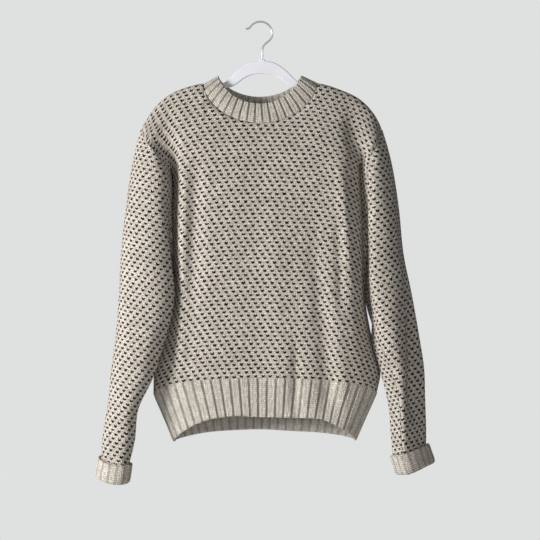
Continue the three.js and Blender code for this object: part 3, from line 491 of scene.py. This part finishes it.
def knit_wool(name, light, mid, dark, fleck=None):
    """Stocking stitch in marl wool: every stitch is a V of two plump legs, and each course sits in the
    one below. The yarn twists cream, grey and brown plies, so no two stitches have quite one colour.
    A rib has no fleck: its every third wale is a purl one, sunk, and painted darker towards the dark ply as
    painted shade."""
    made, tree, shader = new_material(name)

    def maths(operation, *values):
        node = add_node(tree, "ShaderNodeMath", operation=operation)
        for socket, value in zip(node.inputs, values):
            if isinstance(value, (int, float)):
                socket.default_value = value
            else:
                tree.links.new(value, socket)
        return node.outputs[0]

    def blend_of(share, first, second):
        node = add_node(tree, "ShaderNodeMix", data_type="RGBA")
        tree.links.new(share, node.inputs["Factor"])
        for socket, value in (("A", first), ("B", second)):
            if isinstance(value, tuple):
                node.inputs[socket].default_value = value
            else:
                tree.links.new(value, node.inputs[socket])
        return node.outputs["Result"]

    numbers = add_node(tree, "ShaderNodeUVMap", uv_map="stitches").outputs[0]
    wander = add_node(tree, "ShaderNodeTexNoise", [("Vector", numbers)], Scale=STRAY_SCALE, Detail=1.0)
    centred = add_node(tree, "ShaderNodeVectorMath", [(0, wander.outputs["Color"])], operation="SUBTRACT")
    centred.inputs[1].default_value = (0.5, 0.5, 0.5)
    uneven = add_node(tree, "ShaderNodeVectorMath", [(0, centred.outputs[0]), (2, numbers)],
                      operation="MULTIPLY_ADD")
    uneven.inputs[1].default_value = STRAY
    split = add_node(tree, "ShaderNodeSeparateXYZ", [("Vector", uneven.outputs[0])])
    wale = maths("ADD", split.outputs["X"], ABOVE_NOUGHT)
    course = maths("ADD", split.outputs["Y"], ABOVE_NOUGHT)
    sideways = maths("ABSOLUTE", maths("SUBTRACT", maths("FRACT", wale), 0.5))
    raised = maths("SUBTRACT", course, sideways)
    number, within = maths("FLOOR", raised), maths("FRACT", raised)
    plump = maths("SINE", maths("MULTIPLY", within, math.pi))
    leg = maths("SINE", maths("MULTIPLY", sideways, 2 * math.pi))
    height = maths("POWER", maths("MULTIPLY", plump, leg), 0.5)

    legs = maths("FLOOR", maths("MULTIPLY", wale, 2))
    cell = add_node(tree, "ShaderNodeCombineXYZ", [("X", legs), ("Y", number)])
    yarn = add_node(tree, "ShaderNodeTexWhiteNoise", [("Vector", cell.outputs[0])], noise_dimensions="2D")
    fluff = add_node(tree, "ShaderNodeTexNoise", [("Vector", numbers)],
                     Scale=PLY_SCALE, Detail=3.0, Roughness=0.7)
    batch = add_node(tree, "ShaderNodeTexNoise", [("Vector", numbers)], Scale=BATCH_SCALE, Detail=3.0)
    by_leg = maths("MULTIPLY", yarn.outputs["Value"], BY_LEG)
    by_fibre = maths("MULTIPLY", fluff.outputs["Fac"], BY_FIBRE)
    pale = maths("SUBTRACT", maths("ADD", by_leg, by_fibre), PALE_LESS)
    cream = blend_of(pale, mid, light)
    brown = maths("MULTIPLY", maths("GREATER_THAN", fluff.outputs["Fac"], BROWN_FROM), BROWN_SHARE)
    ground = blend_of(brown, cream, dark)
    tone = maths("ADD", maths("MULTIPLY", batch.outputs["Fac"], 0.3), 0.85)
    # Painted shade: the colour darkens from the middle of each stitch leg to the crevices between the
    # stitches, where shade falls.
    sunk = maths("ADD", maths("MULTIPLY", height, 1 - CREVICE_SHADE), CREVICE_SHADE)
    if fleck:
        row = maths("FLOOR", maths("MULTIPLY", number, 0.5))
        every_second = maths("LESS_THAN", maths("FLOORED_MODULO", number, 2), 0.5)
        place_in_three = maths("FLOORED_MODULO", maths("ADD", maths("ADD", wale, row), 1), 3)
        from_fleck = maths("SUBTRACT", place_in_three, 1.5)
        every_third = maths("LESS_THAN", maths("ABSOLUTE", from_fleck), FLECK_REACH)
        dark_stitch = maths("MULTIPLY", every_second, every_third)
        colour = blend_of(dark_stitch, ground, fleck)
    else:
        # Painted shade: every third wale of a rib, the sunk purl one, is blended towards the dark ply.
        purl = maths("LESS_THAN", maths("FLOORED_MODULO", maths("FLOOR", wale), 3), 0.5)
        colour = blend_of(maths("MULTIPLY", purl, PURL_SHADE), ground, dark)
    # The wool's own batch tone, times the painted shade in the crevices between the stitches.
    shade = maths("MULTIPLY", tone, sunk)
    final = add_node(tree, "ShaderNodeVectorMath", [(0, colour)], operation="SCALE")
    tree.links.new(shade, final.inputs["Scale"])
    relief = maths("ADD", height, maths("MULTIPLY", fluff.outputs["Fac"], 0.35))
    bump = add_node(tree, "ShaderNodeBump", [("Height", relief)], Strength=0.9, Distance=STITCH_RELIEF)
    tree.links.new(final.outputs[0], shader.inputs["Base Color"])
    tree.links.new(bump.outputs[0], shader.inputs["Normal"])
    shader.inputs["Roughness"].default_value = 0.95
    shader.inputs["Specular IOR Level"].default_value = 0.1
    shader.inputs["Sheen Weight"].default_value = 0.06
    shader.inputs["Sheen Roughness"].default_value = 0.6
    return made


marl = knit_wool("marl_wool_stocking_stitch", linear("#FFFBF1"), linear("#CFC2B3"), linear("#837364"),
                 linear("#0E0D10"))

body_guide = body_rings(FRONT, -1)
BODY_ACROSS = places(body_guide[SPACING_RING], STEP)
BODY_DOWN = places(body_guide[:, MIDDLE_COLUMN], STEP)
front, front_level = body_panel(FRONT, -1, NECK_FRONT, FRONT_FOLDS, BODY_ACROSS, BODY_DOWN)
back, back_level = body_panel(BACK, 1, NECK_BACK, BACK_FOLDS, BODY_ACROSS, BODY_DOWN)
below = BODY_DOWN >= UNDERARM
for edge, column in (("left", 0), ("right", -1)):
    line = np.where(below[:, None], front[:, column], back[:, column])
    back = sewn(back, edge, line, 35)
front_normal, back_normal = normals_of(front, -1, level=front_level), normals_of(back, 1, level=back_level)

# ---------------------------------------------------------------------------
# Sleeves: two tubes of the same stitch, sewn into the dropped armholes and
# closed by a seam underneath. The left one hangs with its seam inside; the
# right one is turned, so that its seam comes round to the front lower down.
# ---------------------------------------------------------------------------
SLEEVE_LEFT = np.array([
    [(-208, -33, -224), (-215, -21, -213), (-218.5, -12, -206.5), (-221, -6, -202.5), (-222, -3, -200.5),
     (-222.6, -1, -199.2), (-223, 0, -198.8), (-222, 4, -201), (-218, 12, -209), (-212, 20, -226)],
    [(-174, -34, -277), (-179, -41, -276), (-190, -46, -274), (-206, -43, -272), (-222, -33, -269),
     (-232, -19, -267), (-237.5, -3, -266), (-235, 14, -268), (-222, 23, -272), (-200, 25, -277)],
    [(-171, -16, -352), (-174, -33, -351), (-183, -46, -350), (-204, -48, -348), (-228, -38, -344),
     (-243, -22, -341), (-248.5, -4, -340), (-245, 15, -342), (-226, 26, -346), (-192, 26, -352)],
    [(-168, 8, -436), (-169, -20, -436), (-168, -42, -435), (-196, -56, -433), (-232, -45, -428),
     (-250, -28, -425), (-257, -8, -424), (-253, 14, -426), (-230, 25, -430), (-184, 24, -436)],
    [(-168.5, 13.5, -508), (-175, -8, -509), (-161, -42, -509), (-190, -61, -506), (-234, -49, -500),
     (-254, -32, -496), (-260.5, -12, -495), (-256, 11, -497), (-222, 23, -503), (-168.5, 13.5, -508)],
    [(-196, -22, -588), (-186, -30, -588), (-179.5, -44, -587), (-206, -65, -584), (-246, -53, -577),
     (-261, -35, -573), (-266, -16, -572), (-260, 6, -575), (-236, 6, -582), (-201, -19, -588)],
    [(-216, -26, -650), (-204, -32, -650), (-199.5, -46, -649), (-222, -62, -646), (-254, -52, -641),
     (-269, -36, -638), (-274.5, -18, -637), (-269, 2, -640), (-248, 0, -646), (-221, -23, -650)],
    [(-238, -22, -708), (-229, -29, -708), (-227, -42, -707), (-242, -56, -705), (-264, -49, -701),
     (-276, -36, -698), (-280, -20, -697), (-275, -4, -700), (-259, -3, -705), (-242, -19, -708)],
    [(-244, -20, -762), (-236, -27, -762), (-233, -38, -763), (-248, -53, -762), (-270, -48, -757),
     (-284, -37, -753), (-289, -22, -751), (-284, -7, -753), (-266, -5, -758), (-248, -17, -762)],
    [(-251, -22, -803), (-245, -27, -804), (-243, -37, -806), (-256, -50, -808), (-276, -46, -805),
     (-288, -36, -799), (-292, -24, -795), (-288, -11, -795), (-272, -8, -799), (-254, -19, -803)],
], float)
SLEEVE_RIGHT = np.array([
    [(206, -32, -226), (213, -21, -214), (216.5, -12, -206.5), (219, -6, -202.5), (220, -3, -200.5),
     (220.6, -1, -199.2), (221, 0, -198.8), (220, 4, -201), (217, 12, -209), (212, 20, -228)],
    [(193, -34, -266), (197, -40, -266), (206, -45, -265), (217, -41, -264), (228, -31, -263),
     (234, -18, -262), (237, -3, -261), (236, 13, -264), (224, 22, -270), (202, 25, -277)],
    [(194, -28, -350), (196.5, -42, -349), (204, -51, -347), (221, -49, -344), (237, -38, -341),
     (244, -22, -339), (249, -4, -338), (248, 15, -340), (231, 26, -346), (197, 26, -352)],
    [(193, -8, -436), (195.5, -34, -435), (203, -55, -433), (225, -55, -430), (246, -43, -427),
     (252, -25, -425), (257.5, -5, -424), (257, 16, -427), (236, 26, -432), (193, 24, -436)],
    [(190, 7, -508), (197, -24, -507), (207, -56, -504), (232, -60, -501), (257.5, -44, -498),
     (257, -26, -496), (272, -4, -495), (270, 15, -498), (240, 25, -503), (190, 7, -508)],
    [(211, -43, -579), (217, -51, -578), (226, -59, -577), (242, -60, -575), (260.5, -44, -573),
     (259, -28, -571), (285, -7, -570), (282, 13, -573), (246, 22, -578), (207.5, -38, -580)],
    [(237.5, -50, -640), (243, -53.5, -639), (249, -56, -638), (256, -54, -637), (262, -44, -636),
     (262, -30, -635), (295, -9, -634), (290, 10, -637), (250, 16, -643), (233.5, -48, -640)],
    [(251, -52, -700), (254, -53, -699), (257, -52.5, -698), (260, -50, -697), (263, -44, -696),
     (266, -34, -695), (297, -11, -693), (292, 7, -696), (258, 8, -704), (247, -50.5, -700)],
    [(253.5, -51, -757), (257, -51.5, -756), (261, -50.5, -755), (266, -47.5, -753), (272, -43, -751),
     (281, -34, -748), (299, -13, -744), (293, 4, -747), (263, 3, -758), (249.5, -49, -757)],
    [(256, -48, -790), (260, -48.5, -788), (264, -47.5, -787), (269, -44.5, -785), (276, -40, -782),
     (285, -32, -778), (299, -14, -773), (292, 1, -775), (263, -2, -788), (252, -46, -791)],
], float)
RIGHT_INNER = {5: (202, -12), 6: (218, -22), 7: (232, -22), 8: (237, -20), 9: (240, -20)}
ARM_LEAN = 0.154      # how far the wales lean from the sleeve's outer line, a share of the height
OUTER = 6             # guide point on the outer line
HEAD = 2              # rings of the body that the sleeve's head is sewn to


def line_at(line, shares):
    """Points along a line of points at shares of its length."""
    along = run(line[None], 1)[0]
    return np.stack([np.interp(shares * along[-1], along, line[:, k]) for k in range(3)], -1)


def sleeve_grid(rings, inner, column):
    """The middle of a sleeve's cloth: rows down the arm, columns from the front of its seam round the
    outer line to the back of it. column is the body's edge that the sleeve is sewn to."""
    turned = np.array([(*inner.get(k, ring[8:, :2].mean(0)), ring[9 if k in inner else 8:, 2].mean())
                       for k, ring in enumerate(rings)])
    full = np.concatenate([rings[:, :9], turned[:, None], rings[:, 9:]], axis=1)
    across = places(full[3], STEP)
    held = BODY_DOWN[(BODY_DOWN >= HEAD) & (BODY_DOWN <= UNDERARM)] - HEAD
    free = UNDERARM - HEAD + places(full[UNDERARM - HEAD:, OUTER], STEP)[1:]
    down = np.concatenate([held, free])
    grid = smooth(np.swapaxes(smooth(np.swapaxes(full, 0, 1), across), 0, 1), down)
    rows = np.arange(len(held))
    body_rows = np.flatnonzero((BODY_DOWN >= HEAD) & (BODY_DOWN <= UNDERARM))
    top_rows = np.flatnonzero(BODY_DOWN <= HEAD)
    for edge, panel in (("left", front), ("right", back)):
        line = grid[:, 0 if edge == "left" else -1].copy()
        line[rows] = panel[body_rows, column]
        grid = sewn(grid, edge, line, 40)
    head = run(grid[:1], 1)[0]
    tip = np.argmin(np.abs(across - OUTER))
    shares = (head[:tip + 1] / head[tip], (head[tip:] - head[tip]) / (head[-1] - head[tip]))
    top = np.concatenate([line_at(front[top_rows[::-1], column], shares[0]),
                          line_at(back[top_rows, column], shares[1])[1:]])
    grid = sewn(grid, "top", top, 30)
    line = grid[:, -1].copy()
    line[len(held) - 1:] = grid[len(held) - 1:, 0]
    return sewn(grid, "right", line, 30), tip, len(held)


def sleeve_stitches(grid, tip, outwards):
    """Stitch and course numbers of a sleeve, its wales leaning outwards as it hangs."""
    across = run(grid, 1)
    lean = math.radians(15)
    up = grid[..., 2] * math.cos(lean) - outwards * grid[..., 0] * math.sin(lean)
    return np.stack([(across - across[:, tip:tip + 1] + ARM_LEAN * grid[..., 2]) / STITCH_WIDE,
                     up / STITCH_HIGH], -1)


sleeves = {}
for name, rings, inner, column, side in (("sleeve_left", SLEEVE_LEFT, {}, 0, 1),
                                         ("sleeve_right", SLEEVE_RIGHT, RIGHT_INNER, -1, -1)):
    grid, tip, held = sleeve_grid(rings, inner, column)
    normal = normals_of(grid, side)
    body_rows = np.flatnonzero((BODY_DOWN >= HEAD) & (BODY_DOWN < UNDERARM))
    share_normals((front_normal, (body_rows, column)), (normal, (np.arange(held - 1), 0)))
    share_normals((back_normal, (body_rows, column)), (normal, (np.arange(held - 1), -1)))
    rest = np.arange(held, len(grid))
    share_normals((normal, (rest, 0)), (normal, (rest, -1)))
    sleeves[name] = grid
    piece = shell(name + "_knit", grid, normal, side, sleeve_stitches(grid, tip, -side),
                  seam_dip(grid, ("left", "right")))
    piece.data.materials.append(marl)
    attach(piece, "root")
    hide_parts(name)

outside = BODY_DOWN > UNDERARM
for column in (0, -1):
    share_normals((front_normal, (outside, column)), (back_normal, (outside, column)))
for name, grid, normal, side in (("front", front, front_normal, -1), ("back", back, back_normal, 1)):
    piece = shell(name + "_knit", grid, normal, side, body_stitches(grid), seam_dip(grid, ("left", "right")))
    piece.data.materials.append(marl)
    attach(piece, "root")
    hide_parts(name)

# ---------------------------------------------------------------------------
# Welts: deep ribs, two knit wales to one purl, knitted onto the lower edges of
# both panels and sewn up at the sides. They draw the body in; the back one
# hangs lower.
# ---------------------------------------------------------------------------
RIB_DEEP = 2.3        # how far a purl groove lies below the knit ribs
GROOVE = 0.09         # half a groove's width, a share of a rib and its groove
RIB_STEP = STEP / 2
FRONT_WELT_EDGE = [(-160, 10, -769), (-161, 2, -767), (-155, -9, -760), (-138, -23, -746), (-100, -34, -728),
                   (-52, -38, -720.5), (0, -39, -722), (54, -40, -723.5), (108, -42, -726), (146, -34, -744),
                   (164, -18, -757), (171, -4, -764), (170, 8, -767)]
BACK_WELT_EDGE = [(-160, 10, -769), (-162, 16, -768), (-157, 20, -766), (-140, 24, -761), (-102, 27, -753.5),
                  (-52, 28, -749.5), (0, 28, -748), (54, 28, -751), (108, 28, -754), (148, 25, -759.5),
                  (166, 20, -764), (172, 15, -766), (170, 8, -767)]

# The ribs are of a yellower marl: cream and straw plies with olive-brown bits.
rib_wool = knit_wool("marl_wool_rib", linear("#FFFDF6"), linear("#DDD3C4"), linear("#6E6049"))


def ribbed(across, pitch):
    """How far each place stands out from the plain cloth, or in below nought, and its stitch number:
    each rib has two knit wales and one sunk purl wale. across is in mm and starts in a groove."""
    from_groove = np.abs((across / pitch + 0.5) % 1 - 0.5) * pitch
    crown = np.cos(np.clip(from_groove / pitch * 2 - 0.5, -0.5, 0.5) * math.pi) * 0.5
    return crown - RIB_DEEP * np.exp(-(from_groove / (GROOVE * pitch)) ** 2), 3 * across / pitch + 0.5


def rib_piece(name, node, grid, normal, side, across, pitch, down, closed=False, sewn_edges=()):
    """One ribbed piece: across says in mm how far each column is, down how far each point is from
    its top."""
    depth, wales = ribbed(across, pitch)
    fade = ramp(down, -2, 6) * ramp(down[-1:] - down, -3, 3) if not closed else ramp(down, -2, 5)
    relief = depth * fade + (seam_dip(grid, sewn_edges) if sewn_edges else 0)
    wales = np.broadcast_to(wales, grid.shape[:2])
    stitches = np.stack([wales, -down / STITCH_HIGH], -1)
    if closed:
        last = np.concatenate([stitches[:, -1:, :1] + (stitches[:, 1:2, :1] - stitches[:, :1, :1]),
                               stitches[:, :1, 1:]], -1)
        stitches = np.concatenate([stitches, last], axis=1)
    piece = shell(name, grid, normal, side, stitches, relief, closed)
    piece.data.materials.append(rib_wool)
    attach(piece, "root")
    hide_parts(node)
    return piece


WELT_PITCH, WELT_HIGH = 15.6, 78
body_finer = places(body_guide[SPACING_RING], RIB_STEP)
welt_rows = np.linspace(0, 1, 2 + round(WELT_HIGH / (2 * RIB_STEP)))
for node, panel, normal, side, edge, folds in (
        ("hem_front", front, front_normal, -1, FRONT_WELT_EDGE, FRONT_FOLDS),
        ("hem_back", back, back_normal, 1, BACK_WELT_EDGE, [])):
    top = np.stack([np.interp(body_finer, BODY_ACROSS, panel[-1, :, k]) for k in range(3)], -1)
    low = smooth(np.array(edge, float), body_finer)
    share = welt_rows[:, None, None]
    grid = top * (1 - share) + low * share
    grid[..., 1] += 0.5 * folded(grid[..., 0], grid[..., 2], folds) * ramp(share[..., 0], 0, 0.3)
    middle_run = run(grid, 1)[len(grid) // 2]
    ribs = round(middle_run[-1] / WELT_PITCH)
    found = normals_of(grid, side)
    found[0] = np.stack([np.interp(body_finer, BODY_ACROSS, normal[-1, :, k]) for k in range(3)], -1)
    across = middle_run / middle_run[-1] * ribs * WELT_PITCH
    piece = rib_piece(node + "_rib", node, grid, found, side, across, WELT_PITCH, run(grid, 0),
                      sewn_edges=("left", "right"))

# ---------------------------------------------------------------------------
# Neckband: a rib picked up round the neck edge, knitted inwards and cast off
# loosely, so it stands up a little and leans in over the hanger.
# ---------------------------------------------------------------------------
COLLAR = {"x": -4.3, "z": -98.5, "half": 75.3, "front": 51.5, "back": 37,
          "lean": 20, "back_lean": 14, "bulge": 3, "power": 1.4}
NECK_PITCH, NECKBAND_HIGH = 14.7, 35
in_neck = np.flatnonzero(np.isfinite(neck_height(front[0, :, 0], NECK_FRONT)))
in_neck = np.arange(in_neck[0] - 1, in_neck[-1] + 2)
halves = []
for panel, depth, dip, lean in ((front, NECK_FRONT, COLLAR["front"], -COLLAR["lean"]),
                                (back, NECK_BACK, COLLAR["back"], COLLAR["back_lean"])):
    line = panel[0, in_neck]
    long = run(line[None], 1)[0, -1]
    edge = line_at(line, np.linspace(0, 1, round(long / RIB_STEP)))
    sine = np.clip((edge[:, 0] - NECK["x"]) / NECK["half"], -1, 1)
    cosine = np.sqrt(1 - sine ** 2)
    top = np.stack([COLLAR["x"] + COLLAR["half"] * sine, lean * cosine ** 0.6,
                    COLLAR["z"] - dip * cosine ** COLLAR["power"]], -1)
    halves.append((edge, top, cosine))
edge, top, cosine = (np.concatenate([halves[0][k], halves[1][k][-2:0:-1]]) for k in range(3))
share = np.linspace(0, 1, 2 + round(NECKBAND_HIGH / RIB_STEP / 1.5))[:, None, None]
grid = edge * (1 - share) + top * share
found = normals_of(grid, 1, closed=True)
grid = grid + found * (COLLAR["bulge"] * np.sin(math.pi * share) * cosine[None, :, None])
along = run(np.concatenate([edge, edge[:1]])[None], 1)[0]
ribs = round(along[-1] / NECK_PITCH)
neck = rib_piece("neckband_rib", "neckband", grid, normals_of(grid, 1, closed=True), 1,
                 along[:-1] / along[-1] * ribs * NECK_PITCH, NECK_PITCH, run(grid, 0), closed=True)

# ---------------------------------------------------------------------------
# Cuffs: finer ribs knitted on from the sleeves, turned up once on the outside.
# ---------------------------------------------------------------------------
CUFF_HIGH, CUFF_FOLD, CUFF_PITCH = 36, 2.8, 11
CUFF_TURN = np.array([(0, 0), (0, 16), (0, 34), (CUFF_FOLD, CUFF_HIGH),
                      (5.6, 34), (6.4, 16), (6.0, 1)], float)
for node, sleeve, side in (("cuff_left", "sleeve_left", 1), ("cuff_right", "sleeve_right", -1)):
    arm = sleeves[sleeve]
    end = np.concatenate([arm[-1, :-1], arm[-1, :1]])
    count = round(run(end[None], 1)[0, -1] / (0.7 * RIB_STEP))
    end = line_at(end, np.linspace(0, 1, count + 1)[:-1])
    centre = end.mean(0)
    down = np.cross(end - centre, np.roll(end, -1, 0) - centre).sum(0)
    down *= -np.sign(down[2]) / np.linalg.norm(down)
    away = end - centre
    away -= (away @ down)[:, None] * down
    away /= np.linalg.norm(away, axis=1, keepdims=True)
    turn = smooth(np.column_stack([CUFF_TURN, np.zeros(len(CUFF_TURN))]), places(CUFF_TURN, RIB_STEP * 1.2))
    grid = end[None] + turn[:, 0, None, None] * away + turn[:, 1, None, None] * down
    along = run(np.concatenate([end, end[:1]])[None], 1)[0]
    ribs = round(along[-1] / CUFF_PITCH)
    piece = rib_piece(node + "_rib", node, grid, normals_of(grid, side, closed=True), side,
                      along[:-1] / along[-1] * ribs * CUFF_PITCH, CUFF_PITCH, run(grid, 0), closed=True)

# ---------------------------------------------------------------------------
# Stage: a pale floor, a pale surround, a soft window light from the left and
# a broad weak one from the room in front.
# ---------------------------------------------------------------------------
FLOOR_WIDE, FLOOR_LOW = 3.0, -1.35    # metres; the floor lies half a metre below the cuffs
deselect()
bpy.ops.mesh.primitive_plane_add(size=FLOOR_WIDE, location=(0, 0, FLOOR_LOW))
floor = bpy.context.object
floor.name = "floor"
paper, tree, shader = new_material("pale_paper")
shader.inputs["Base Color"].default_value = linear("#DEDEDE")
shader.inputs["Roughness"].default_value = 0.9
floor.data.materials.append(paper)

world = bpy.data.worlds.new("surround")
bpy.context.scene.world = world
world.use_nodes = True
tree = world.node_tree
tree.nodes.clear()
seen = add_node(tree, "ShaderNodeBackground", Color=linear("#DFE0E0"), Strength=1.0)
filling = add_node(tree, "ShaderNodeBackground", Color=linear("#F1F4FA"), Strength=0.1)
which = add_node(tree, "ShaderNodeLightPath")
rays = [(0, which.outputs["Is Camera Ray"]), (1, which.outputs["Is Glossy Ray"])]
bright = add_node(tree, "ShaderNodeMath", rays, operation="MAXIMUM")
mixed = [(0, bright.outputs[0]), (1, filling.outputs[0]), (2, seen.outputs[0])]
both = add_node(tree, "ShaderNodeMixShader", mixed)
add_node(tree, "ShaderNodeOutputWorld", [("Surface", both.outputs[0])])


def area_light(name, place, aim, size, watts, colour):
    """A square soft light aimed at a point."""
    lamp = bpy.data.lights.new(name, "AREA")
    lamp.size, lamp.energy, lamp.color = size, watts, colour
    holder = bpy.data.objects.new(name, lamp)
    bpy.context.collection.objects.link(holder)
    way = np.array(aim, float) - np.array(place, float)
    flat = math.hypot(way[0], way[1])
    holder.location = place
    holder.rotation_euler = (math.atan2(flat, -way[2]), 0, math.atan2(way[1], way[0]) - math.pi / 2)
    return holder


MIDDLE = (0.0, 0.0, -0.45)
EYE_HIGH, EYE_ASIDE = -0.454, 0.0147
area_light("window", (-2.65, -1.5, -0.1), MIDDLE, 0.9, 134, (1.0, 0.985, 0.965))
area_light("room", (0.6, -3.6, -0.2), MIDDLE, 2.4, 38, (1.0, 0.98, 0.95))

AWAY = 5.0            # metres from the camera to the pullover
SEEN_WIDE = 0.991     # metres that the picture takes in at that distance
camera = bpy.data.cameras.new("camera")
camera.sensor_width = 36
camera.lens = 36 * AWAY / SEEN_WIDE
eye = bpy.data.objects.new("camera", camera)
bpy.context.collection.objects.link(eye)
eye.location = (EYE_ASIDE, -AWAY, EYE_HIGH)
eye.rotation_euler = (math.radians(90), 0, 0)
bpy.context.scene.camera = eye
bpy.context.scene.view_settings.view_transform = "Standard"
